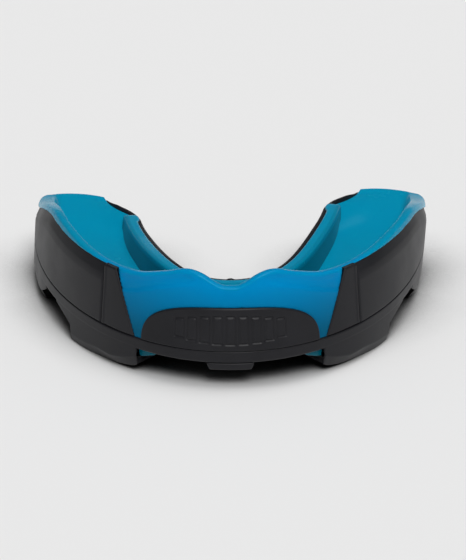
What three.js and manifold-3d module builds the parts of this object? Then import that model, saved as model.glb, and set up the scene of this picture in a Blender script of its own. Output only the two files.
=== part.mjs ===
// Two-tone sports mouthguard: a blue gel liner in a black rubber frame, in millimetres, +Z up.
// The lips' side faces -Y and the arms open towards +Y. Left is the wearer's left, at +X.
//
// Everything follows one dental arch. A place is given as (angle, out, height): the angle along
// the arch in degrees from its front, the distance outwards from the arch (negative is towards
// the tongue), and the height above the surface that the guard stands on.
import * as THREE from "three";
import { mergeVertices } from "three/addons/utils/BufferGeometryUtils.js";
import Module from "manifold-3d";

// ---- driving dimensions ----
const ARCH_HALF_WIDTH = 33.5;
const ARCH_DEPTH = 52;
const ARM_END_ANGLE = 88;
const SEAM_HEIGHT = 6.7; // the line between the bite rail and the plates above it
const LEAN = 0.12; // how much the front wall leans inwards for each millimetre of height
const GAP = 0.3; // left between neighbouring mouldings
const PLATE_THICKNESS = 1.2;
const LINER_INSET = 0.3; // the gel face lies this far behind the plates' faces
const FLOOR_HEIGHT = 8.2;
const TRAY_BOTTOM = 5;
const TRAY_THICKNESS = 0.9;
const BAND_WIDTH = 2.5; // the bite rail's outer band, which reaches a little below its tray
const BAND_BOTTOM = 4.7;
const RIM_HEIGHT = 13;
const RIM_THICKNESS = 0.8;
const LINGUAL_WIDTH = 2.0; // the gel wall on the tongue's side, beside the rim
const CREASE_ANGLE = 38; // the upright groove between canine guard and cheek panel
const PAD_INSET = 1.2; // how far a pad's lower edge is drawn in under the rail
const ANGLE_STEP = 3;
const PLATE_STEP = 1.4; // finer, because a plate's edge curves

// The pads' lower outlines, as [angle, height]. The canine pad steps up behind its flat foot.
const CANINE_PAD = [[26, 4], [27.3, 1.5], [31, 0.7], [38, 0], [50, 0], [50.6, 2.8], [57.5, 4]];
const MOLAR_PAD = [[65.5, 4], [69, 2.6], [71.8, 0], [84.5, 0], [87, 4]];
const END_ROUND = { from: 85.5, inset: 1.1 };
const END_WALL = { from: 87.1, top: 12.2 }; // closes the arm's end below the gel
const FOOT_HALF_ANGLE = 6.3;
const FOOT_HEIGHT = 1.1;
const GEL_PLUG = { from: 19.5, to: 24.3, bottom: 3.5 };
const LIP_PLATE = { halfAngle: 24.7, height: 13.65, exponent: 2.8, proud: 0.3 };
const GUARD_FRONT = { lowAngle: 27, highAngle: 34 };
const RIB = { count: 9, pitchAngle: 3.6, width: 1.1, proud: 0.4, height: 4, middle: 10.2 };

// Heights along one side of the arch, as smooth curves through [angle, height].
const crestHeight = heightCurve([
  [0, 16.8], [5, 17.5], [12.5, 19], [22, 17.9], [33, 16.7], [46, 17],
  [58, 17.9], [67, 18], [77, 15.6], [82, 14.1], [85, 13.6], [ARM_END_ANGLE, 13.5],
]);
const panelTop = heightCurve([
  [30, 16.5], [50, 16.4], [60, 16.6], [67, 16.9], [76, 15], [83, 12.9], [ARM_END_ANGLE, 12.2],
]);
const floorHeight = heightCurve([
  [0, FLOOR_HEIGHT], [50, FLOOR_HEIGHT], [70, 9.3], [76, 10.2], [82, 11.6], [ARM_END_ANGLE, 13.3],
]);

const END_ANGLES = [84, 86, 87, 87.6];
const bothSides = (angles) => [...angles, ...angles.map((angle) => -angle)];
const radians = THREE.MathUtils.degToRad;
const smoothBetween = (value, low, high) => THREE.MathUtils.smoothstep(value, low, high);

function heightCurve(points) {
  const curve = new THREE.CatmullRomCurve3(
    points.map(([angle, height]) => new THREE.Vector3(angle, height, 0)), false, "centripetal",
  );
  const samples = curve.getPoints(20 * points.length);
  return (angle) => {
    const at = Math.abs(angle);
    const next = samples.findIndex((sample) => sample.x >= at);
    if (next === 0) return samples[0].y;
    if (next < 0) return samples.at(-1).y;
    const [before, after] = [samples[next - 1], samples[next]];
    return THREE.MathUtils.mapLinear(at, before.x, after.x, before.y, after.y);
  };
}

// ---- the arch ----
function onArch(angle, out, height) {
  const turn = radians(angle);
  const normal = new THREE.Vector2(
    ARCH_DEPTH * Math.sin(turn), -ARCH_HALF_WIDTH * Math.cos(turn),
  ).normalize();
  return new THREE.Vector3(
    ARCH_HALF_WIDTH * Math.sin(turn) + out * normal.x,
    ARCH_DEPTH * (1 - Math.cos(turn)) + out * normal.y,
    height,
  );
}

// The arm's width across the arch: it widens towards the molars and narrows to a tongue at the end.
function armWidth(angle) {
  const at = Math.abs(angle);
  return 14 + 3.3 * smoothBetween(at, 15, 65) - 5.6 * smoothBetween(at, 75, ARM_END_ANGLE + 3);
}

// The outer corner at the end of each arm is rounded off by this much.
function endInset(angle) {
  const along = Math.max(0, Math.abs(angle) - END_ROUND.from) / (ARM_END_ANGLE - END_ROUND.from);
  return END_ROUND.inset * (1 - Math.sqrt(1 - Math.min(1, along) ** 2));
}

const leanAt = (angle, height) => -LEAN * Math.cos(radians(angle)) * Math.max(0, height - SEAM_HEIGHT);

function anglesBetween(from, to, extra = [], step = ANGLE_STEP) {
  const count = Math.max(2, Math.round((to - from) / step));
  const even = Array.from({ length: count + 1 }, (_, i) => from + ((to - from) * i) / count);
  const inside = extra.filter((angle) => angle > from && angle < to);
  const sorted = [...even, ...inside].sort((a, b) => a - b);
  return sorted.filter((angle, i) => i === 0 || angle - sorted[i - 1] > 0.05);
}

// ---- solids ----
// A closed body whose section, a list of [out, height] with as many points at every angle,
// is swept along the arch. The section runs clockwise seen from the front of the sweep.
function sweep(angles, sectionAt) {
  const positions = [];
  const faces = [];
  const sections = angles.map(sectionAt);
  const size = sections[0].length;
  angles.forEach((angle, i) => {
    for (const [out, height] of sections[i]) positions.push(...onArch(angle, out, height));
  });
  for (let i = 0; i + 1 < angles.length; i++) {
    for (let k = 0; k < size; k++) {
      const [a, b] = [i * size + k, i * size + ((k + 1) % size)];
      faces.push(a, b, b + size, a, b + size, a + size);
    }
  }
  const last = (angles.length - 1) * size;
  for (const [offset, section, atEnd] of [[0, sections[0], false], [last, sections.at(-1), true]]) {
    const outline = section.map(([out, height]) => new THREE.Vector2(out, height));
    for (const [a, b, c] of THREE.ShapeUtils.triangulateShape(outline, [])) {
      const face = [offset + a, offset + b, offset + c];
      faces.push(...(atEnd ? face : face.reverse()));
    }
  }
  return facingOut(positions, faces);
}

function facingOut(positions, faces) {
  const geometry = new THREE.BufferGeometry();
  geometry.setAttribute("position", new THREE.Float32BufferAttribute(positions, 3));
  geometry.setIndex(signedVolume(positions, faces) < 0 ? faces.toReversed() : faces);
  return geometry;
}

function signedVolume(positions, faces) {
  const corner = (i) => new THREE.Vector3().fromArray(positions, 3 * faces[i]);
  let sum = 0;
  for (let i = 0; i < faces.length; i += 3) sum += corner(i).dot(corner(i + 1).cross(corner(i + 2)));
  return sum / 6;
}

const wasm = await Module();
wasm.setup();

function solid(geometry) {
  const merged = mergeVertices(geometry, 1e-4);
  return new wasm.Manifold(new wasm.Mesh({
    numProp: 3,
    vertProperties: merged.attributes.position.array,
    triVerts: new Uint32Array(merged.index.array),
  }));
}

function geometryOf(manifold) {
  const { vertProperties, triVerts } = manifold.getMesh();
  const geometry = new THREE.BufferGeometry();
  geometry.setAttribute("position", new THREE.BufferAttribute(vertProperties, 3));
  return geometry.setIndex(new THREE.BufferAttribute(triVerts, 1));
}

// ---- materials ----
const blackRubber = () => new THREE.MeshStandardMaterial({ color: 0x2c2c30, roughness: 0.62, metalness: 0 });
const blueGel = () => new THREE.MeshStandardMaterial({ color: 0x0f86c4, roughness: 0.32, metalness: 0 });

// ---- the plates on the outside of the liner ----
// A plate between two angles, from the seam up to topAt(angle). A grown plate is the pocket for it.
function plate(from, to, topAt, { proud = 0, grow = 0 } = {}) {
  const bottom = SEAM_HEIGHT + GAP - grow;
  const growAngle = 1.5 * (grow / ARCH_HALF_WIDTH) * THREE.MathUtils.RAD2DEG;
  const angles = anglesBetween(from - growAngle, to + growAngle, bothSides(END_ANGLES), PLATE_STEP);
  return solid(sweep(angles, (angle) => {
    const near = [-growAngle, 0, growAngle].map((turn) => THREE.MathUtils.clamp(angle + turn, from, to));
    const tops = near.map(topAt);
    const top = Math.max(...tops, bottom + 0.2) + grow;
    const low = leanAt(angle, bottom);
    const high = leanAt(angle, top);
    const face = proud + 3 * grow - endInset(angle);
    const back = -PLATE_THICKNESS - grow - endInset(angle);
    return [[face + low, bottom], [face + high, top], [back + high, top], [back + low, bottom]];
  }));
}

// The cheek panel turns inwards at the arm's end, up to the rim.
function cheekPanel(side, grow = 0) {
  const panel = plateOnSide(side, CREASE_ANGLE + 0.3, ARM_END_ANGLE, panelTop, { grow });
  const angles = [END_WALL.from - grow, 87.6, ARM_END_ANGLE + grow].map((angle) => side * angle);
  const wall = sweep(angles.sort((a, b) => a - b), (angle) => {
    const outer = -0.6 - endInset(angle);
    const inner = -(armWidth(angle) - RIM_THICKNESS - GAP) - 2 * grow;
    const step = -BAND_WIDTH - GAP - endInset(angle);
    const high = END_WALL.top + grow;
    const shelf = SEAM_HEIGHT + GAP - 3 * grow;
    const low = TRAY_BOTTOM + TRAY_THICKNESS + GAP - 2 * grow;
    return [[outer, shelf], [outer, high], [inner, high], [inner, low], [step, low], [step, shelf]];
  });
  return panel.add(solid(wall));
}

function canineGuard(side, grow = 0) {
  const { lowAngle, highAngle } = GUARD_FRONT;
  const topAt = (angle) => Math.min(
    panelTop(angle),
    THREE.MathUtils.mapLinear(Math.abs(angle), lowAngle, highAngle, SEAM_HEIGHT, panelTop(highAngle)),
  );
  return plateOnSide(side, lowAngle + 0.5, CREASE_ANGLE - 0.3, topAt, { grow });
}

function plateOnSide(side, from, to, topAt, options) {
  return side > 0 ? plate(from, to, topAt, options) : plate(-to, -from, topAt, options);
}

function frontLipPlate(grow = 0) {
  const { halfAngle, height, exponent, proud } = LIP_PLATE;
  const topAt = (angle) => {
    const across = Math.min(1, Math.abs(angle) / halfAngle) ** exponent;
    return SEAM_HEIGHT + (height - SEAM_HEIGHT) * (1 - across) ** (1 / exponent);
  };
  return plate(-halfAngle + 0.2, halfAngle - 0.2, topAt, { proud, grow });
}

// The raised upright grip ribs on the lip plate, tallest in the middle.
function gripRibs() {
  const middle = (RIB.count - 1) / 2;
  const halfAngle = (RIB.width / 2 / ARCH_HALF_WIDTH) * THREE.MathUtils.RAD2DEG;
  return Array.from({ length: RIB.count }, (_, i) => {
    const centre = (i - middle) * RIB.pitchAngle;
    const halfHeight = (RIB.height / 2) * (1 - 0.4 * (Math.abs(i - middle) / middle) ** 2);
    const [low, high] = [RIB.middle - halfHeight, RIB.middle + halfHeight];
    return solid(sweep([centre - halfAngle, centre, centre + halfAngle], (angle) => {
      const face = LIP_PLATE.proud + RIB.proud;
      const [lowLean, highLean] = [leanAt(angle, low), leanAt(angle, high)];
      return [[face + lowLean, low], [face + highLean, high], [-0.5 + highLean, high], [-0.5 + lowLean, low]];
    }));
  });
}

// ---- the liner ----
function gelLiner() {
  const end = ARM_END_ANGLE;
  const body = solid(sweep(anglesBetween(-end, end, bothSides([0, 4, 8, ...END_ANGLES])), (angle) => {
    const crest = crestHeight(angle);
    const floor = floorHeight(angle);
    const lean = leanAt(angle, crest);
    const outer = -endInset(angle);
    const face = outer - LINER_INSET;
    const inner = -(armWidth(angle) - RIM_THICKNESS - GAP);
    const tongue = smoothBetween(Math.abs(angle), 75, 82);
    const ridgeTop = Math.max(RIM_HEIGHT - 0.1, floor + 0.2);
    const ridgeBase = THREE.MathUtils.lerp(LINGUAL_WIDTH + 0.5, LINGUAL_WIDTH + 1.2, tongue);
    const ridgeFoot = THREE.MathUtils.lerp(floor + 0.9, ridgeTop - 0.8, tongue);
    const underside = TRAY_BOTTOM + TRAY_THICKNESS + GAP;
    return [
      [outer - BAND_WIDTH - GAP, underside],
      [outer - BAND_WIDTH - GAP, SEAM_HEIGHT + GAP],
      [face, SEAM_HEIGHT + GAP],
      [face + lean, crest - 0.7],
      [face - 0.6 + lean, crest],
      [face - 1.6 + lean, crest],
      [face - 2.2 + lean / 2, THREE.MathUtils.lerp(floor, crest, 0.3)],
      [face - 3, floor],
      [inner + ridgeBase + 0.9, floor],
      [inner + ridgeBase, Math.max(ridgeFoot, floor + 0.1)],
      [inner + LINGUAL_WIDTH, ridgeTop - THREE.MathUtils.lerp(0.6, 0.1, tongue)],
      [inner + LINGUAL_WIDTH - 0.6, ridgeTop],
      [inner, ridgeTop],
      [inner, underside],
    ];
  }));
  return [-1, 1].reduce((made, side) => made.add(gelPlug(side)), body);
}

// The gel that shows through the tray at the front end of each canine pad.
function gelPlug(side, grow = 0) {
  const growAngle = (2 * grow / ARCH_HALF_WIDTH) * THREE.MathUtils.RAD2DEG;
  const angles = [GEL_PLUG.from - growAngle, GEL_PLUG.to + growAngle].map((angle) => side * angle);
  const outer = -0.9 + grow;
  const inner = -BAND_WIDTH - 1.2 - grow;
  const bottom = GEL_PLUG.bottom - grow;
  const top = FLOOR_HEIGHT - 0.6;
  const shoulder = SEAM_HEIGHT - 1.5 + grow;
  return solid(sweep(anglesBetween(Math.min(...angles), Math.max(...angles)), () => [
    [outer, bottom], [outer, shoulder], [-BAND_WIDTH - GAP, top], [inner, top], [inner, bottom],
  ]));
}

// ---- the rail and what stands under it ----
function biteRail() {
  const angles = anglesBetween(-ARM_END_ANGLE, ARM_END_ANGLE, bothSides(END_ANGLES));
  const rail = solid(sweep(angles, (angle) => {
    const outer = -endInset(angle);
    const inner = -(armWidth(angle) - RIM_THICKNESS - GAP);
    return [
      [outer, BAND_BOTTOM],
      [outer, SEAM_HEIGHT],
      [outer - BAND_WIDTH, SEAM_HEIGHT],
      [outer - BAND_WIDTH, TRAY_BOTTOM + TRAY_THICKNESS],
      [inner, TRAY_BOTTOM + TRAY_THICKNESS],
      [inner, TRAY_BOTTOM],
      [outer - BAND_WIDTH, TRAY_BOTTOM],
      [outer - BAND_WIDTH, BAND_BOTTOM],
    ];
  }));
  return [-1, 1].reduce((made, side) => made.subtract(gelPlug(side, GAP)), rail);
}

function innerRim() {
  const top = (angle) => RIM_HEIGHT + 0.3 * (1 - smoothBetween(Math.abs(angle), 1, 3));
  return solid(sweep(anglesBetween(-ARM_END_ANGLE, ARM_END_ANGLE, [0]), (angle) => {
    const inner = -armWidth(angle);
    return [
      [inner + RIM_THICKNESS, BAND_BOTTOM],
      [inner + RIM_THICKNESS, top(angle)],
      [inner, top(angle)],
      [inner, BAND_BOTTOM],
    ];
  }));
}

// A pad under the rail with that lower outline.
function pad(outline, side) {
  const top = BAND_BOTTOM - GAP;
  const stops = outline.map(([angle]) => angle);
  const angles = anglesBetween(stops[0], stops.at(-1), stops).map((angle) => side * angle);
  return solid(sweep(angles.sort((a, b) => a - b), (angle) => {
    const at = Math.abs(angle);
    const next = Math.max(1, stops.findIndex((stop) => stop >= at));
    const [before, after] = [outline[next - 1], outline[next]];
    const bottom = THREE.MathUtils.mapLinear(at, before[0], after[0], before[1], after[1]);
    const inner = -(armWidth(angle) - 1.5);
    const low = -PAD_INSET * (1 - bottom / top) - endInset(angle);
    return [[-0.1 - endInset(angle), top], [inner, top], [inner + 0.8, bottom], [low, bottom]];
  }));
}

function frontFoot() {
  const top = BAND_BOTTOM - GAP;
  const angles = anglesBetween(-FOOT_HALF_ANGLE, FOOT_HALF_ANGLE, [0]);
  return solid(sweep(angles, () => [
    [-0.6, top], [-5, top], [-4.6, top - FOOT_HEIGHT], [-PAD_INSET, top - FOOT_HEIGHT],
  ]));
}

// ---- assembly ----
const group = new THREE.Group();

function addPart(name, manifold, material) {
  const mesh = new THREE.Mesh(geometryOf(manifold), material);
  mesh.name = name;
  group.add(mesh);
}

const sides = { left: 1, right: -1 };
let liner = gelLiner().subtract(frontLipPlate(GAP));
for (const side of Object.values(sides)) {
  liner = liner.subtract(cheekPanel(side, GAP)).subtract(canineGuard(side, GAP));
}
addPart("gel_liner", liner, blueGel());
addPart("bite_rail", biteRail(), blackRubber());
addPart("inner_rim", innerRim(), blackRubber());
addPart("front_lip_plate", gripRibs().reduce((made, rib) => made.add(rib), frontLipPlate()), blackRubber());
addPart("front_foot", frontFoot(), blackRubber());
for (const [name, side] of Object.entries(sides)) {
  addPart("cheek_panel_" + name, cheekPanel(side), blackRubber());
  addPart("canine_guard_" + name, canineGuard(side), blackRubber());
  addPart("canine_pad_" + name, pad(CANINE_PAD, side), blackRubber());
  addPart("molar_pad_" + name, pad(MOLAR_PAD, side), blackRubber());
}

// The origin is under the middle of the whole guard's box, on the surface it stands on.
const box = new THREE.Box3().setFromObject(group);
group.children.forEach((mesh) => mesh.position.setY(-(box.min.y + box.max.y) / 2));

export default group;
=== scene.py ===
"""The looks of a two-tone sports mouthguard: a blue gel liner in a black rubber frame.

Every shape follows one dental arch. A place on it is (angle, out, height): the angle along the
arch in degrees from its front, the distance outwards from the arch (negative is towards the
tongue) and the height above the floor, both in millimetres. Meshes are made from grids of such
places, and only placed() turns them into metres in the frame of the CAD model.
"""

import bpy
import numpy as np
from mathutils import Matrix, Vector


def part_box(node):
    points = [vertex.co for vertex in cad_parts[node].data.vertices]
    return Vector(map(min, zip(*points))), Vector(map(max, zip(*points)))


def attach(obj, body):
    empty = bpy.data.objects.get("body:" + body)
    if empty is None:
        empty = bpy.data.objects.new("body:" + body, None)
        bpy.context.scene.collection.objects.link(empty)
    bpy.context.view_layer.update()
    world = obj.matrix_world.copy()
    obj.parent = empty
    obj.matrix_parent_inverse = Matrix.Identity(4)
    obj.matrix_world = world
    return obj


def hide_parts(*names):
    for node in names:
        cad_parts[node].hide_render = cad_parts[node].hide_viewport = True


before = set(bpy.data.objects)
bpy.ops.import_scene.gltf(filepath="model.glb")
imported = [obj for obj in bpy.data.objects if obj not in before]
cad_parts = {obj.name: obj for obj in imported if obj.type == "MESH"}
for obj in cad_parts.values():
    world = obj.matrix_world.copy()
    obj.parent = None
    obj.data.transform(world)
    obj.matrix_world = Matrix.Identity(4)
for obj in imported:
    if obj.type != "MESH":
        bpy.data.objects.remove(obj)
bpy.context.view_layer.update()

MM = 0.001
FRONT_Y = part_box("bite_rail")[0][1]  # the arch's foremost point

# ---- the arch and its levels, in millimetres ----
ARCH_HALF_WIDTH = 33.5
ARCH_DEPTH = 52.0
ARM_END = 88.0
SEAM = 6.7  # the line between the bite rail and the plates above it
SEAM_GAP = 0.03
LEAN = 0.12  # how much the front wall leans inwards for each millimetre of height
PLATE_THICKNESS = 1.2
LINER_INSET = 0.3  # the gel's face lies this far behind the rail's
RIM_HEIGHT = 13.0
RIM_THICKNESS = 0.8
BAND_WIDTH = 2.5  # the rail's outer band, which reaches a little below its tray
BAND_BOTTOM = 4.7
TRAY_BOTTOM = 5.0
TRAY_TOP = 5.9
CREASE_ANGLE = 38.0  # the upright groove between canine guard and cheek panel
CREASE_HALF_ANGLE = 0.12
END_ROUND_FROM = 85.5
END_ROUND_INSET = 1.1
END_EDGE = 0.5  # the radius of the top edge at an arm's end
END_WALL_ANGLE = 87.2
END_WALL_HEIGHT = 12.3
ARM_ROLL = 0.063  # how far each arm is rolled from rest, in radians
ROLL_HEIGHT = 9.0
SIDES = {"left": 1, "right": -1}


def smooth_step(value, low, high):
    t = np.clip((value - low) / (high - low), 0, 1)
    return t * t * (3 - 2 * t)


def mix(a, b, share):
    return a + (b - a) * share


def smooth_curve(points):
    """A function of the angle, the same on both sides, through [angle, value] points."""
    x, y = np.array(points, float).T
    slopes = np.gradient(y, x)
    slopes[0] = 0

    def value(angle):
        at = np.clip(np.abs(angle), x[0], x[-1])
        i = np.clip(np.searchsorted(x, at) - 1, 0, len(x) - 2)
        width = x[i + 1] - x[i]
        t = (at - x[i]) / width
        return (
            (2 * t**3 - 3 * t**2 + 1) * y[i]
            + (t**3 - 2 * t**2 + t) * width * slopes[i]
            + (3 * t**2 - 2 * t**3) * y[i + 1]
            + (t**3 - t**2) * width * slopes[i + 1]
        )

    return value


crest_height = smooth_curve([
    [0, 16.8], [2.5, 16.9], [5, 17.5], [8, 18.4], [12, 19], [15, 18.9], [18, 18.4], [22, 17.8], [28, 16.95],
    [34, 16.7], [46, 17], [57, 17.8], [66, 18], [76, 15.9], [82, 14.1], [85, 13.5], [ARM_END, 13.2],
])
panel_top = smooth_curve([
    [30, 16.6], [40, 16.6], [50, 16.7], [60, 16.9], [67, 17], [76, 15], [83, 12.9], [ARM_END, 12.2],
])
floor_height = smooth_curve([
    [0, 8.2], [45, 8.3], [60, 8.7], [70, 9.3], [76, 10.2], [82, 11.8], [ARM_END, 13.3],
])


def arm_width(angle):
    """The width across the arm: wider towards the molars, and drawn in at the end."""
    at = np.abs(angle)
    return 14 + 3.3 * smooth_step(at, 15, 65) - 5.6 * smooth_step(at, 75, ARM_END + 3)


def end_inset(angle):
    """How far the outer corner at an arm's end is rounded off."""
    along = np.clip((np.abs(angle) - END_ROUND_FROM) / (ARM_END - END_ROUND_FROM), 0, 1)
    return END_ROUND_INSET * (1 - np.sqrt(1 - along**2))


def lean(angle, height):
    return -LEAN * np.cos(np.radians(angle)) * np.maximum(0, height - SEAM)


def end_bulge(angle, out):
    """How far the arm's end is drawn backwards in its middle and forwards at its sides."""
    return (1.4 - 2.4 * ((out + 7) / 7) ** 2) * smooth_step(np.abs(angle), 78, ARM_END)


def placed(angle, out, height):
    """Points in metres, in the frame of the CAD model. The soft arms lie slightly rolled."""
    turn = np.radians(angle)
    roll = ARM_ROLL * np.sign(angle) * smooth_step(np.abs(angle), 35, 75)
    shift = end_bulge(angle, out)
    out, height = out + roll * (height - ROLL_HEIGHT), height - roll * out * height / RIM_HEIGHT
    normal = np.stack([ARCH_DEPTH * np.sin(turn), -ARCH_HALF_WIDTH * np.cos(turn)], axis=-1)
    normal /= np.linalg.norm(normal, axis=-1, keepdims=True)
    x = ARCH_HALF_WIDTH * np.sin(turn) + out * normal[..., 0]
    y = ARCH_DEPTH * (1 - np.cos(turn)) + out * normal[..., 1] + shift
    return np.stack([x * MM, y * MM + FRONT_Y, height * MM], axis=-1)


# The length along the arch, from its front, at closely spaced angles.
LENGTH_ANGLES = np.linspace(-90, 90, 1801)
STEPS_ACROSS = np.diff(ARCH_HALF_WIDTH * np.sin(np.radians(LENGTH_ANGLES)))
STEPS_BACK = np.diff(-ARCH_DEPTH * np.cos(np.radians(LENGTH_ANGLES)))
LENGTHS = np.concatenate([[0], np.cumsum(np.hypot(STEPS_ACROSS, STEPS_BACK))])
LENGTHS -= LENGTHS[len(LENGTHS) // 2]


def arc_length(angle):
    return np.interp(angle, LENGTH_ANGLES, LENGTHS)


def angle_at(length):
    return np.interp(length, LENGTHS, LENGTH_ANGLES)


def inside_distance(outline, places, closed=True):
    """How far places, (length, height) points, lie inside a closed outline of such points.

    With closed False, the outline is an open line and the distance has no sign."""
    flat = places.reshape(-1, 2)
    ends = np.roll(outline, -1, axis=0) if closed else outline[1:]
    starts = outline if closed else outline[:-1]
    best = np.full(len(flat), np.inf)
    inside = np.zeros(len(flat), bool)
    for start, end in zip(starts, ends):
        along = end - start
        share = np.clip((flat - start) @ along / max(along @ along, 1e-12), 0, 1)
        best = np.minimum(best, np.linalg.norm(flat - start - share[:, None] * along, axis=1))
        if closed and start[1] != end[1]:
            crosses = (start[1] > flat[:, 1]) != (end[1] > flat[:, 1])
            at = start[0] + (flat[:, 1] - start[1]) * along[0] / along[1]
            inside ^= crosses & (flat[:, 0] < at)
    signed = np.where(inside, best, -best) if closed else best
    return signed.reshape(places.shape[:-1])


def edge_drop(distance, radius):
    """How far a rounded edge of that radius falls back, at that distance inside the edge."""
    left = np.clip(1 - distance / radius, 0, 1)
    return radius * (1 - np.sqrt(1 - left**2))


# ---- meshes ----
def add_mesh(name, points, faces, material, attributes=None):
    mesh = bpy.data.meshes.new(name)
    mesh.from_pydata(points.reshape(-1, 3).tolist(), [], faces)
    mesh.update()
    mesh.shade_smooth()
    for key, values in (attributes or {}).items():
        layer = mesh.attributes.new(key, "FLOAT", "POINT")
        layer.data.foreach_set("value", np.asarray(values, np.float32).ravel())
    mesh.materials.append(material)
    piece = bpy.data.objects.new(name, mesh)
    bpy.context.collection.objects.link(piece)
    return piece


def grid_faces(columns, rows, start=0, wrap=False, flip=False):
    """Faces over a grid of points. wrap joins each column's last point to its first, and flip
    turns the faces over."""
    faces = []
    for i in range(columns - 1):
        for k in range(rows if wrap else rows - 1):
            a = start + i * rows + k
            b = start + i * rows + (k + 1) % rows
            face = (a, b, b + rows, a + rows)
            faces.append(face[::-1] if flip else face)
    return faces


def loft(name, angles, outs, heights, material, attributes=None):
    """A closed tube of sections along the arch. outs and heights are (angle, section point)."""
    columns, rows = outs.shape
    points = placed(angles[:, None], outs, heights)
    centres = points[[0, -1]].mean(axis=1)
    faces = grid_faces(columns, rows, wrap=True)
    first, last = columns * rows, columns * rows + 1
    last_section = (columns - 1) * rows
    for k in range(rows):
        after = (k + 1) % rows
        faces.append((first, after, k))
        faces.append((last, last_section + k, last_section + after))
    attributes = {key: np.append(values, [0, 0]) for key, values in (attributes or {}).items()}
    return add_mesh(name, np.concatenate([points.reshape(-1, 3), centres]), faces, material, attributes)


def rounded_sections(corners, edge_rows):
    """Section outlines with rounded corners. corners is a list of (out, height, radius, steps),
    with out and height arrays over the angle, and edge_rows the points on the edge after each."""
    spots = np.stack([np.stack(np.broadcast_arrays(c[0], c[1]), axis=-1) for c in corners], axis=1)
    count = len(corners)
    arcs = []
    for k, (_, _, radius, steps) in enumerate(corners):
        here, before, after = spots[:, k], spots[:, k - 1], spots[:, (k + 1) % count]
        to_before, to_after = before - here, after - here
        length_before = np.linalg.norm(to_before, axis=1, keepdims=True) + 1e-9
        length_after = np.linalg.norm(to_after, axis=1, keepdims=True) + 1e-9
        reach = np.minimum(np.minimum(length_before, length_after) * 0.48, radius)
        start = here + to_before / length_before * reach
        end = here + to_after / length_after * reach
        t = np.linspace(0, 1, steps + 1)[None, :, None]
        arcs.append((1 - t) ** 2 * start[:, None] + 2 * t * (1 - t) * here[:, None] + t**2 * end[:, None])
    rows, marks = [], []
    for k, arc in enumerate(arcs):
        following = arcs[(k + 1) % count][:, :1]
        rows.append(arc)
        marks.append(np.full(arc.shape[1], 2 * k))
        share = (np.arange(1, edge_rows[k] + 1) / (edge_rows[k] + 1))[None, :, None]
        rows.append(mix(arc[:, -1:], following, share))
        marks.append(np.full(edge_rows[k], 2 * k + 1))
    section = np.concatenate(rows, axis=1)
    return section[..., 0], section[..., 1], np.concatenate(marks)


def even_angles(low, high, spacing=0.35, extra=()):
    """Angles from low to high, evenly spaced in millimetres along the arch, with extra ones."""
    ends = arc_length(np.array([low, high]))
    count = int(np.ceil((ends[1] - ends[0]) / spacing)) + 1
    angles = angle_at(np.linspace(*ends, count))
    return np.unique(np.round(np.concatenate([angles, [a for a in extra if low < a < high]]), 4))


def slab(name, angles, bottom, top, face, back, material, rounding=0.25, open_top=False, rows=36, tones=None):
    """A closed plate on the arch: bottom and top are heights over the angle, face(angle, height)
    is its outer face and back(angle, height) its inner one. Its outline's edges are rounded,
    except the upper one with open_top. tones are the values of its material's attributes."""
    share = 0.5 - 0.5 * np.cos(np.pi * np.linspace(0, 1, rows))
    heights = mix(bottom[:, None], top[:, None], share[None, :])
    spread = np.broadcast_to(angles[:, None], heights.shape)
    lengths = arc_length(spread)
    lower = np.stack([lengths[:, 0], heights[:, 0]], axis=-1)
    upper = np.stack([lengths[:, -1], heights[:, -1]], axis=-1)
    outline = [upper[:1], lower, upper[-1:]] if open_top else [lower, upper[::-1]]
    places = np.stack([lengths, heights], axis=-1)
    distance = np.abs(inside_distance(np.concatenate(outline), places, closed=not open_top))
    front = placed(spread, face(spread, heights) - edge_drop(distance, rounding), heights)
    rear = placed(spread, back(spread, heights), heights)
    return plate_between(name, front, rear, material, tones)


def plate_between(name, front, rear, material, tones=None):
    """A closed plate between two grids of points, its face and its back."""
    columns, rows = front.shape[:2]
    points = np.concatenate([front.reshape(-1, 3), rear.reshape(-1, 3)])
    behind = columns * rows
    faces = grid_faces(columns, rows, flip=True) + grid_faces(columns, rows, start=behind)
    border = [i * rows for i in range(columns)]
    border += [(columns - 1) * rows + k for k in range(1, rows)]
    border += [i * rows + rows - 1 for i in range(columns - 2, -1, -1)]
    border += list(range(rows - 2, 0, -1))
    for a, b in zip(border, border[1:] + border[:1]):
        faces.append((a, b, b + behind, a + behind))
    attributes = {key: np.full(len(points), value) for key, value in (tones or {}).items()}
    return add_mesh(name, points, faces, material, attributes)


# ---- materials ----
def new_material(name):
    material = bpy.data.materials.new(name)
    material.use_nodes = True
    tree = material.node_tree
    return material, tree, tree.nodes["Principled BSDF"]


def add_node(tree, kind, **inputs):
    node = tree.nodes.new(kind)
    for key, value in inputs.items():
        node.inputs[key.replace("_", " ")].default_value = value
    return node


def noise_on(tree, scale, detail=3.0):
    """A noise texture in the piece's own space, per metre."""
    noise = add_node(tree, "ShaderNodeTexNoise", Scale=scale, Detail=detail)
    coordinates = tree.nodes.new("ShaderNodeTexCoord")
    tree.links.new(coordinates.outputs["Object"], noise.inputs["Vector"])
    return noise


def ranged(tree, source, low, high):
    """The middle of a noise's range, spread over low to high."""
    node = add_node(tree, "ShaderNodeMapRange")
    node.inputs["From Min"].default_value = 0.3
    node.inputs["From Max"].default_value = 0.7
    node.inputs["To Min"].default_value = low
    node.inputs["To Max"].default_value = high
    tree.links.new(source, node.inputs["Value"])
    return node.outputs["Result"]


def colour_between(tree, share, low, high):
    """A mix of two colours by a node's output."""
    node = tree.nodes.new("ShaderNodeMix")
    node.data_type = "RGBA"
    node.inputs[6].default_value = (*low, 1)
    node.inputs[7].default_value = (*high, 1)
    tree.links.new(share, node.inputs[0])
    return node.outputs[2]


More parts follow.
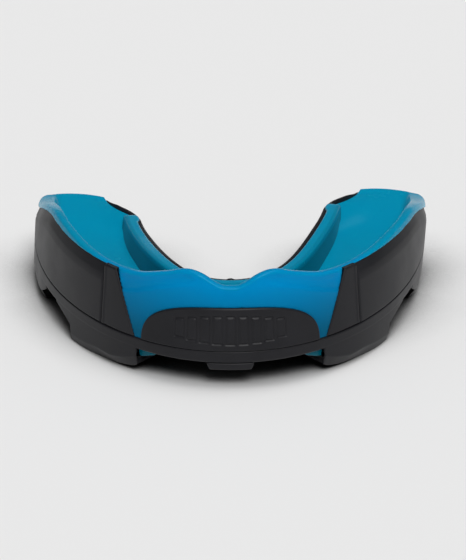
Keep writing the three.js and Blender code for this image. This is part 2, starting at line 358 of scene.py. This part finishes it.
def add_grain(tree, shader, scale, distance, strength):
    noise = noise_on(tree, scale, detail=2.0)
    bump = add_node(tree, "ShaderNodeBump", Strength=strength, Distance=distance)
    tree.links.new(noise.outputs["Fac"], bump.inputs["Height"])
    tree.links.new(bump.outputs["Normal"], shader.inputs["Normal"])


def attribute_value(tree, name):
    node = tree.nodes.new("ShaderNodeAttribute")
    node.attribute_name = name
    return node.outputs["Fac"]


def black_rubber():
    material, tree, shader = new_material("black_rubber")
    mottle = noise_on(tree, 180.0)
    tone = ranged(tree, mottle.outputs["Fac"], 0, 1)
    colour = colour_between(tree, tone, (0.008, 0.008, 0.010), (0.012, 0.012, 0.0145))
    tree.links.new(colour, shader.inputs["Base Color"])
    tree.links.new(ranged(tree, mottle.outputs["Fac"], 0.42, 0.5), shader.inputs["Roughness"])
    shader.inputs["IOR"].default_value = 1.5
    shader.inputs["Specular IOR Level"].default_value = 0.22
    add_grain(tree, shader, 5200.0, 0.00003, 0.25)
    return material


def blue_gel():
    """Greener where the attribute channel is 1, and darker with painted shade where the attribute
    painted_shade is: on the gel's lower front, the fin's side and the wedges under the rail.
    """
    material, tree, shader = new_material("blue_gel")
    colour = colour_between(tree, attribute_value(tree, "channel"), (0.0, 0.215, 0.48), (0.0, 0.23, 0.38))
    # Painted shade: this multiply darkens the gel's colour by the shade attribute read just below.
    darker = tree.nodes.new("ShaderNodeMix")
    darker.data_type = "RGBA"
    darker.blend_type = "MULTIPLY"
    darker.inputs[7].default_value = (0.2, 0.4, 0.36, 1)
    tree.links.new(attribute_value(tree, "painted_shade"), darker.inputs[0])
    tree.links.new(colour, darker.inputs[6])
    tree.links.new(darker.outputs[2], shader.inputs["Base Color"])
    mottle = noise_on(tree, 140.0)
    tree.links.new(ranged(tree, mottle.outputs["Fac"], 0.22, 0.28), shader.inputs["Roughness"])
    shader.inputs["IOR"].default_value = 1.45
    shader.inputs["Specular IOR Level"].default_value = 0.12
    shader.inputs["Specular Tint"].default_value = (0.3, 0.9, 1.0, 1)
    shader.inputs["Sheen Weight"].default_value = 0.12
    shader.inputs["Sheen Roughness"].default_value = 0.3
    shader.inputs["Sheen Tint"].default_value = (0.12, 0.75, 1.0, 1)
    shader.inputs["Subsurface Weight"].default_value = 0.25
    shader.inputs["Subsurface Radius"].default_value = (0.15, 0.6, 1.0)
    shader.inputs["Subsurface Scale"].default_value = 0.0008
    add_grain(tree, shader, 2600.0, 0.00002, 0.1)
    return material


# ---- outlines of the black plates, as (length along the arch, height) ----
LIP_HALF_ANGLE = 24.7
LIP_TOP = 13.65
LIP_POWER = 2.8
GUARD_LOW_ANGLE = 27.0
GUARD_HIGH_ANGLE = 34.0


def lip_top(angle):
    across = np.clip(np.abs(angle) / LIP_HALF_ANGLE, 0, 1) ** LIP_POWER
    return SEAM + (LIP_TOP - SEAM) * (1 - across) ** (1 / LIP_POWER)


def guard_top(angle):
    at = np.abs(angle)
    ramp = SEAM + (at - GUARD_LOW_ANGLE) / (GUARD_HIGH_ANGLE - GUARD_LOW_ANGLE) * (
        panel_top(GUARD_HIGH_ANGLE) - SEAM
    )
    return np.minimum(panel_top(angle), ramp)


def plate_outlines():
    lip = even_angles(-LIP_HALF_ANGLE, LIP_HALF_ANGLE, 0.4)
    lines = [np.concatenate([
        np.stack([arc_length(lip), lip_top(lip)], axis=-1),
        [[arc_length(LIP_HALF_ANGLE), SEAM - 1], [arc_length(-LIP_HALF_ANGLE), SEAM - 1]],
    ])]
    for side in SIDES.values():
        at = side * even_angles(GUARD_LOW_ANGLE, ARM_END, 0.5, [GUARD_HIGH_ANGLE])
        lines.append(np.concatenate([
            np.stack([arc_length(at), guard_top(at)], axis=-1),
            [[arc_length(side * 90), SEAM - 1], [arc_length(side * GUARD_LOW_ANGLE), SEAM - 1]],
        ]))
    return lines


# ---- the gel liner ----
ledge_height = smooth_curve([[8, 17.6], [12, 17], [20, 15.8], [27, 14.3], [31, 13.6], [34, 13.3]])
LEDGE_DEPTH = 0.2
POCKET_DEPTH = 0.8  # of the gel behind a black plate
FIN_END = 77.6
FIN_WIDTH = 2.0
FIN_HEIGHT = RIM_HEIGHT + 0.2
FIN_NOSE = 1.6  # the angle over which the fin's end is rounded


def gel_tray(material):
    """The gel all round, without its fin: the outer wall, its crest and the dished floor."""
    steps = [END_WALL_ANGLE, END_WALL_ANGLE + 0.02, 87.6, 87.85]
    angles = even_angles(-ARM_END, ARM_END, 0.32, steps + [-a for a in steps])
    at = np.abs(angles)
    crest, floor = crest_height(angles), floor_height(angles)
    tilt = lean(angles, crest)
    outer = -end_inset(angles)
    face = outer - LINER_INSET
    inner = -(arm_width(angles) - RIM_THICKNESS)
    crest_width = 1.5 + 1.2 * smooth_step(at, 58, 84)
    crest_inner = tilt - LINER_INSET - crest_width
    bend = 2.4 - 1.2 * smooth_step(at, 50, 80)
    shoulder = face + lean(angles, crest - bend)
    dish_edge = np.maximum(mix(floor + 0.5, RIM_HEIGHT - 0.2, smooth_step(at, 72, 79)), floor)
    underside = np.where(at > END_WALL_ANGLE, END_WALL_HEIGHT, TRAY_TOP)
    band = np.where(at > END_WALL_ANGLE, face - 0.01, outer - BAND_WIDTH)
    shelf = np.where(at > END_WALL_ANGLE, END_WALL_HEIGHT, SEAM)
    end_drop = edge_drop(np.abs(arc_length(ARM_END) - arc_length(at)), END_EDGE)
    corners = [
        (band, underside, 0.01, 1),
        (band - 0.001, shelf, 0.01, 1),
        (face, shelf - 0.001, 0.01, 1),
        (shoulder, crest - bend, 1.4, 8),
        (face + tilt - 0.4, crest, 0.75, 8),
        (crest_inner, crest - 0.05, 0.3, 6),
        (crest_inner - 0.4 * tilt - 0.5, mix(floor, crest, 0.35), 3.0, 6),
        (crest_inner - tilt - 1.2, floor, 1.8, 8),
        (inner + mix(3.0, 4.5, smooth_step(at, 72, 80)), floor, 3.0, 8),
        (inner, dish_edge, 0.15, 3),
        (inner, underside, 0.01, 1),
    ]
    edge_rows = [1, 2, 40, 6, 2, 4, 6, 8, 6, 3, 3]
    outs, heights, marks = rounded_sections(corners, edge_rows)
    heights = heights - np.where(heights > END_WALL_HEIGHT + 0.05, end_drop[:, None], 0)
    spread = np.broadcast_to(angles[:, None], outs.shape)
    places = np.stack([arc_length(spread), heights], axis=-1)
    outside = (marks >= 4) & (marks <= 8)
    inset = np.full(outs.shape, -np.inf)
    for outline in plate_outlines():
        inset[:, outside] = np.maximum(inset[:, outside], inside_distance(outline, places[:, outside]))
    outs = outs - POCKET_DEPTH * smooth_step(inset, 0.12, 0.4)
    fade = smooth_step(np.abs(spread), 9, 13) * (1 - smooth_step(np.abs(spread), 31, 33))
    ledge = smooth_step(heights - ledge_height(spread), -0.14, 0.14) * fade * outside[None, :]
    outs = outs - LEDGE_DEPTH * ledge * (1 - smooth_step(heights, crest[:, None] - 1.4, crest[:, None] - 0.4))
    over = np.interp(marks, [7, 8, 9, 10, 11, 12], [0, 0.35, 0.5, 0.5, 0.7, 1])
    channel = np.maximum(over[None, :], smooth_step(np.abs(spread), 32, 48))
    # Painted shade: the gel's front is made darker towards its bottom, fully from 17 mm down to 8 mm high.
    painted_shade = np.where(channel > 0.5, 0, np.clip((17 - heights) / 9, 0, 1))
    tones = {"channel": channel.ravel(), "painted_shade": painted_shade.ravel()}
    return loft("liner_moulding", angles, outs, heights, material, tones)


def gel_fin(material):
    """The fin along the tongue side, with a round nose at each end."""
    nose = FIN_END - FIN_NOSE * (1 - np.sin(np.linspace(0, np.pi / 2, 14)))
    straight = FIN_END - FIN_NOSE - 0.1
    angles = np.concatenate([-nose[::-1], even_angles(-straight, straight, 0.4), nose])
    at = np.abs(angles)
    along = np.clip((at - FIN_END + FIN_NOSE) / FIN_NOSE, 0, 1)
    narrowing = np.sqrt(np.maximum(1 - along**2, 0.0004))
    over_rim = 0.5 * smooth_step(at, 72.5, 75)
    low = -(arm_width(angles) - RIM_THICKNESS) - over_rim
    middle = low + (FIN_WIDTH + over_rim) / 2
    half = (FIN_WIDTH + over_rim) / 2 * narrowing
    top = FIN_HEIGHT + 0.25 * smooth_step(at, 60, 74) - 0.5 * (1 - narrowing)
    corners = [
        (middle - half, TRAY_TOP + 0.2, 0.05, 1),
        (middle + half + 0.35, TRAY_TOP + 0.2, 0.05, 1),
        (middle + half, top, 0.55, 8),
        (middle - half, top, 0.4, 6),
    ]
    outs, heights, marks = rounded_sections(corners, [1, 10, 3, 4])
    # Painted shade: the fin's side facing the outer wall is darkened, less so at its top edge.
    painted_shade = np.broadcast_to(np.interp(marks, [1, 2, 3, 4, 5], [0, 0.8, 0.8, 0.3, 0]), outs.shape)
    tones = {"channel": np.ones(outs.size), "painted_shade": painted_shade.ravel()}
    return loft("fin_moulding", angles, outs, heights, material, tones)


def foot_back(angle, height):
    """The back of the wedges and the foot, hidden under the tray."""
    return np.full(np.shape(height), -5.0)


def gel_wedge(side, material):
    """The gel that shows below the rail, in front of a canine pad."""
    stops = [20.3, 22, 25.5, 28.5]
    levels = [BAND_BOTTOM - 0.02, 4.0, 3.2, 2.9]
    angles = np.sort(side * even_angles(stops[0], stops[-1], 0.2))
    bottom = np.interp(np.abs(angles), stops, levels)
    top = np.full(angles.shape, BAND_BOTTOM + 0.4)

    def face(angle, height):
        return -0.7 - 0.3 * (BAND_BOTTOM - height)

    # Painted shade: the wedge under the rail is given the full darkening.
    tones = {"channel": 1, "painted_shade": 1}
    return slab("wedge_moulding", angles, bottom, top, face, foot_back, material, 0.2, True, 20, tones)


# ---- the black frame ----
def bite_rail(material):
    """The thin tray under the gel, with a thicker band outside and a ridge towards the tongue."""
    angles = even_angles(-ARM_END, ARM_END, 0.4)
    outer = -end_inset(angles)
    inner = -(arm_width(angles) - 0.02)
    groove = 0.03 + 0.07 * smooth_step(np.abs(angles), 24, 28) * (1 - smooth_step(np.abs(angles), 36, 44))
    corners = [
        (outer, BAND_BOTTOM, 0.5, 6),
        (outer, SEAM - groove, 0.22, 5),
        (outer - BAND_WIDTH, SEAM - 0.03, 0.05, 1),
        (outer - BAND_WIDTH, TRAY_TOP, 0.05, 1),
        (inner, TRAY_TOP, 0.05, 1),
        (inner, BAND_BOTTOM, 0.3, 4),
        (inner + 1.8, BAND_BOTTOM, 0.3, 3),
        (inner + 2.1, TRAY_BOTTOM, 0.2, 2),
        (outer - BAND_WIDTH - 0.3, TRAY_BOTTOM, 0.2, 2),
        (outer - BAND_WIDTH, BAND_BOTTOM, 0.3, 3),
    ]
    outs, heights, _ = rounded_sections(corners, [6, 1, 1, 1, 1, 1, 1, 6, 1, 2])
    return loft("rail_moulding", angles, outs, heights, material)


def inner_rim(material):
    """The upright rim on the tongue side, a little higher in its middle and near its ends."""
    angles = even_angles(-ARM_END, ARM_END, 0.4)
    at = np.abs(angles)
    inner = -arm_width(angles)
    end_drop = edge_drop(np.abs(arc_length(ARM_END) - arc_length(at)), END_EDGE)
    top = RIM_HEIGHT + 0.2 * (1 - smooth_step(at, 0.5, 3.5)) - end_drop
    top = top + 0.45 * smooth_step(at, 76, 82) - 0.75 * smooth_step(at, 83, ARM_END)
    corners = [
        (inner + RIM_THICKNESS, BAND_BOTTOM + 0.3, 0.05, 1),
        (inner + RIM_THICKNESS, top, 0.3, 5),
        (inner, top, 0.35, 5),
        (inner, BAND_BOTTOM + 0.3, 0.05, 1),
    ]
    outs, heights, _ = rounded_sections(corners, [2, 1, 8, 1])
    return loft("rim_moulding", angles, outs, heights, material)


def plate_back(angle, height):
    return -PLATE_THICKNESS + lean(angle, height)


def lip_plate(material):
    """The plate at the front, with a row of grip ribs."""
    turn = np.linspace(-1, 1, 261)
    half = LIP_HALF_ANGLE - 0.02
    angles = half * np.sin(turn * np.pi / 2)
    bottom = np.full(angles.shape, SEAM + SEAM_GAP)
    top = np.maximum(lip_top(angles), bottom + 0.03)

    def face(angle, height):
        return 0.15 + lean(angle, height) + grip_relief(angle, height)

    return slab("lip_plate_moulding", angles, bottom, top, face, plate_back, material, rows=90)


RIB_COUNT = 9
RIB_PITCH = 2.05
RIB_HALF_WIDTH = 0.62
RIB_HALF_HEIGHT = 2.1
RIB_MIDDLE = 10.1


def grip_relief(angle, height):
    """Upright rounded ribs, each in a shallow moat, tallest in the middle of the row."""
    length = arc_length(angle)
    relief = np.zeros(np.shape(length))
    for i in range(RIB_COUNT):
        place = i - (RIB_COUNT - 1) / 2
        half_height = RIB_HALF_HEIGHT * (1 - 0.35 * (2 * place / (RIB_COUNT - 1)) ** 2)
        across = np.abs(length - place * RIB_PITCH) - RIB_HALF_WIDTH
        along = np.abs(height - RIB_MIDDLE) - half_height
        outside = np.hypot(np.maximum(across, 0), np.maximum(along, 0))
        signed = outside + np.minimum(np.maximum(across, along), 0)
        moat = np.exp(-((signed - 0.12) / 0.13) ** 2)
        relief = relief - 0.2 * moat + 0.04 * (1 - smooth_step(signed, -0.3, 0.0))
    return relief


def cheek_panel(side, material):
    """The long plate behind the crease, with a bevel along its top."""
    low, high = CREASE_ANGLE + CREASE_HALF_ANGLE, ARM_END
    at = even_angles(low, high, 0.4, [low + 0.1, low + 0.25, 87, 87.5, 87.7, 87.9])
    angles = np.sort(side * at)
    bottom = np.full(angles.shape, SEAM + SEAM_GAP)
    top = panel_top(angles)

    def face(angle, height):
        above = height - (panel_top(angle) - 2.3)
        bevel = 0.2 * (above + np.sqrt(above**2 + 0.01)) + 0.1 * np.exp(-((above / 0.2) ** 2))
        return -end_inset(angle) + lean(angle, height) - bevel

    def back(angle, height):
        return plate_back(angle, height) - end_inset(angle)

    return slab("cheek_moulding", angles, bottom, top, face, back, material)


def end_wall(side, material):
    """The cheek panel's turn inwards, which closes the arm's end below the gel and bulges with it."""
    across, up = np.meshgrid(np.linspace(0, 1, 24), np.linspace(0, 1, 16), indexing="ij")
    out = mix(-0.35 - END_ROUND_INSET, 0.02 - arm_width(ARM_END), across)
    height = mix(TRAY_TOP - 0.02, END_WALL_HEIGHT + 0.05, up)
    edge = edge_drop((1 - up) * (END_WALL_HEIGHT - SEAM), 0.3)
    rear = placed(side * (ARM_END - 0.02 - 1.6 * edge), out, height)
    front = placed(np.full(out.shape, side * (END_WALL_ANGLE + 0.05)), out, height)
    grids = (rear, front) if side > 0 else (front, rear)
    return plate_between("end_wall_moulding", *grids, material)


def canine_guard(side, material):
    """The plate between the gel's front and the crease, stepped back a little from the crease."""
    low, high = GUARD_LOW_ANGLE + 0.05, CREASE_ANGLE - CREASE_HALF_ANGLE
    at = even_angles(low, high, 0.14, [GUARD_HIGH_ANGLE])
    angles = np.sort(side * at)
    bottom = np.full(angles.shape, SEAM + SEAM_GAP)
    top = np.maximum(guard_top(angles), bottom + 0.05)

    def face(angle, height):
        border = smooth_step(arc_length(CREASE_ANGLE) - arc_length(np.abs(angle)), 0.6, 0.75)
        return lean(angle, height) - 0.07 * border

    return slab("guard_moulding", angles, bottom, top, face, plate_back, material)


def pad(name, side, profile, crease, edge_inset, material):
    """A pad under the rail. profile holds [angle, height] points of its lower outline. Its outer
    face is flush with the rail down to the crease, then falls in to the lower edge."""
    stops, levels = np.array(profile, float).T
    at = even_angles(stops[0], stops[-1], 0.25, stops)
    angles = np.sort(side * at)
    bottom = np.interp(np.abs(angles), stops, levels)
    top = np.full(angles.shape, BAND_BOTTOM + 0.6)

    def face(angle, height):
        below = np.clip(1 - height / crease(angle), 0, 1)
        return -0.02 - end_inset(angle) - edge_inset(angle) * below

    def back(angle, height):
        return -arm_width(angle) + 1.5 + 0 * height

    return slab(name, angles, bottom, top, face, back, material, 0.18, True, 44)


def canine_pad(side, material):
    profile = [
        [26.2, 4.9], [26.4, 3.6], [26.7, 2.3], [27.3, 1.5], [28.5, 1.1], [31, 0.7], [34, 0.3],
        [38, 0.05], [42, 0], [50.2, 0], [50.7, 2.8], [53, 3.5], [55, 4.0], [58, 4.62],
    ]
    crease = smooth_curve([
        [24, 4.2], [26.7, 3.5], [30.5, 2.6], [34.5, 2.0], [40, 2.0], [44, 1.65], [48, 1.4], [60, 1.4],
    ])
    inset = smooth_curve([[24, 1.4], [30, 1.5], [39, 1.2], [45, 0.6], [50, 0.4], [60, 0.4]])
    return pad("canine_pad_moulding", side, profile, crease, inset, material)


def molar_pad(side, material):
    profile = [[64.5, 4.62], [66.5, 3.6], [69, 2.6], [71, 0.6], [72.2, 0], [84, 0], [87, 4.9]]
    crease = smooth_curve([[60, 2.6], [90, 2.6]])
    inset = smooth_curve([[60, 1.3], [90, 1.3]])
    return pad("molar_pad_moulding", side, profile, crease, inset, material)


def front_foot(material):
    """The short foot under the middle of the front, with chamfered ends."""
    half_angle, chamfer = 6.4, 0.7
    angles = even_angles(-half_angle, half_angle, 0.2)
    top = np.full(angles.shape, BAND_BOTTOM - 0.05)
    lift = np.clip((np.abs(angles) - half_angle + chamfer) / chamfer, 0, 1)
    bottom = mix(3.4, 4.3, lift)

    def face(angle, height):
        return -0.1 - 0.15 * (BAND_BOTTOM - height)

    return slab("foot_moulding", angles, bottom, top, face, foot_back, material, 0.3, rows=24)


def named(piece, side_name):
    piece.name = piece.name.split(".")[0] + "_" + side_name
    return piece


def build_pieces():
    black, blue = black_rubber(), blue_gel()
    made = [
        ("gel_liner", gel_tray(blue)),
        ("gel_liner", gel_fin(blue)),
        ("bite_rail", bite_rail(black)),
        ("inner_rim", inner_rim(black)),
        ("front_lip_plate", lip_plate(black)),
        ("front_foot", front_foot(black)),
    ]
    for name, side in SIDES.items():
        made += [
            ("gel_liner", named(gel_wedge(side, blue), name)),
            ("cheek_panel_" + name, named(cheek_panel(side, black), name)),
            ("cheek_panel_" + name, named(end_wall(side, black), name)),
            ("canine_guard_" + name, named(canine_guard(side, black), name)),
            ("canine_pad_" + name, named(canine_pad(side, black), name)),
            ("molar_pad_" + name, named(molar_pad(side, black), name)),
        ]
    for node, piece in made:
        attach(piece, "root")
        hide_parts(node)


# ---- the set ----
def floor_material():
    """Pale and matt. What the camera sees of it has a painted shadow, darker where a close thing
    overhangs it towards the front; the light it throws back stays even."""
    material, tree, shader = new_material("pale_floor")
    cover = add_node(tree, "ShaderNodeAmbientOcclusion", Distance=0.02)
    cover.samples = 16
    leaning = add_node(tree, "ShaderNodeCombineXYZ", X=0.0, Y=-0.85, Z=0.53)
    tree.links.new(leaning.outputs["Vector"], cover.inputs["Normal"])
    open_share = add_node(tree, "ShaderNodeMapRange", From_Min=0.47, From_Max=0.93)
    open_share.interpolation_type = "SMOOTHSTEP"
    tree.links.new(cover.outputs["AO"], open_share.inputs["Value"])
    path = tree.nodes.new("ShaderNodeLightPath")
    unseen = tree.nodes.new("ShaderNodeMath")
    unseen.operation = "SUBTRACT"
    unseen.inputs[0].default_value = 1
    tree.links.new(path.outputs["Is Camera Ray"], unseen.inputs[1])
    pale = tree.nodes.new("ShaderNodeMath")
    pale.operation = "MAXIMUM"
    tree.links.new(unseen.outputs["Value"], pale.inputs[0])
    tree.links.new(open_share.outputs["Result"], pale.inputs[1])
    # Painted shadow: the colour goes to near black where ambient occlusion finds the mouthguard close by, for
    # camera rays only.
    colour = colour_between(tree, pale.outputs["Value"], (0.02, 0.02, 0.02), (0.8, 0.8, 0.8))
    tree.links.new(colour, shader.inputs["Base Color"])
    shader.inputs["Roughness"].default_value = 0.9
    shader.inputs["Specular IOR Level"].default_value = 0.0
    return material


def add_floor():
    reach = 4.0
    corners = np.array([[-reach, -reach, 0], [reach, -reach, 0], [reach, reach, 0], [-reach, reach, 0]])
    floor = add_mesh("floor", corners, [(0, 1, 2, 3)], floor_material())


def add_world(as_light, reflected, seen):
    """An even white surround, with one strength as light, one in reflections and one in view."""
    world = bpy.data.worlds.new("studio")
    bpy.context.scene.world = world
    world.use_nodes = True
    tree = world.node_tree
    path = tree.nodes.new("ShaderNodeLightPath")
    in_reflections = add_node(tree, "ShaderNodeMapRange", To_Min=as_light, To_Max=reflected)
    in_view = add_node(tree, "ShaderNodeMapRange", To_Max=seen)
    tree.links.new(path.outputs["Is Glossy Ray"], in_reflections.inputs["Value"])
    tree.links.new(in_reflections.outputs["Result"], in_view.inputs["To Min"])
    tree.links.new(path.outputs["Is Camera Ray"], in_view.inputs["Value"])
    tree.links.new(in_view.outputs["Result"], tree.nodes["Background"].inputs["Strength"])
    tree.nodes["Background"].inputs["Color"].default_value = (1, 1, 1, 1)


def add_sun(name, azimuth, elevation, strength, spread):
    """A soft sun. Azimuth 0 shines from the front, 90 from +X; elevation is above the floor."""
    light = bpy.data.lights.new(name, "SUN")
    light.energy = strength
    light.angle = np.radians(spread)
    sun = bpy.data.objects.new(name, light)
    a, e = np.radians([azimuth, elevation])
    towards = Vector((np.sin(a) * np.cos(e), -np.cos(a) * np.cos(e), np.sin(e)))
    sun.rotation_mode = "QUATERNION"
    sun.rotation_quaternion = towards.to_track_quat("Z", "Y")
    bpy.context.collection.objects.link(sun)


def add_softbox(name, place, target, size, power):
    """An area light that only shows in reflections."""
    light = bpy.data.lights.new(name, "AREA")
    light.energy = power
    light.shape = "RECTANGLE"
    light.size, light.size_y = size
    box = bpy.data.objects.new(name, light)
    box.location = place
    box.rotation_mode = "QUATERNION"
    box.rotation_quaternion = (Vector(place) - Vector(target)).to_track_quat("Z", "Y")
    box.visible_diffuse = False
    bpy.context.collection.objects.link(box)


def add_camera():
    """It looks at the mouthguard from the front, from above."""
    elevation = np.radians(23.4)
    distance = 0.42
    up = Vector((0, np.sin(elevation), np.cos(elevation)))
    back = Vector((0, -np.cos(elevation), np.sin(elevation)))
    target = Vector((0.0004, FRONT_Y + 0.025, 0.009)) - up * 0.0009
    data = bpy.data.cameras.new("camera")
    data.lens = 165.7
    data.sensor_width = 36.0
    camera = bpy.data.objects.new("camera", data)
    camera.location = target + back * distance
    camera.rotation_mode = "QUATERNION"
    camera.rotation_quaternion = back.to_track_quat("Z", "Y")
    data.clip_start = 0.01
    data.clip_end = 20.0
    bpy.context.collection.objects.link(camera)
    bpy.context.scene.camera = camera


def add_lights():
    add_world(0.22, 0.09, 0.81)
    add_sun("key", 10, 46, 2.17, 22)
    add_sun("side", 80, 80, 0.95, 40)
    add_softbox("strip", (0, 0.5, 0.07), (0, 0, 0.01), (0.9, 0.06), 0.2)


add_camera()
build_pieces()
add_floor()
add_lights()
bpy.context.scene.view_settings.view_transform = "Standard"
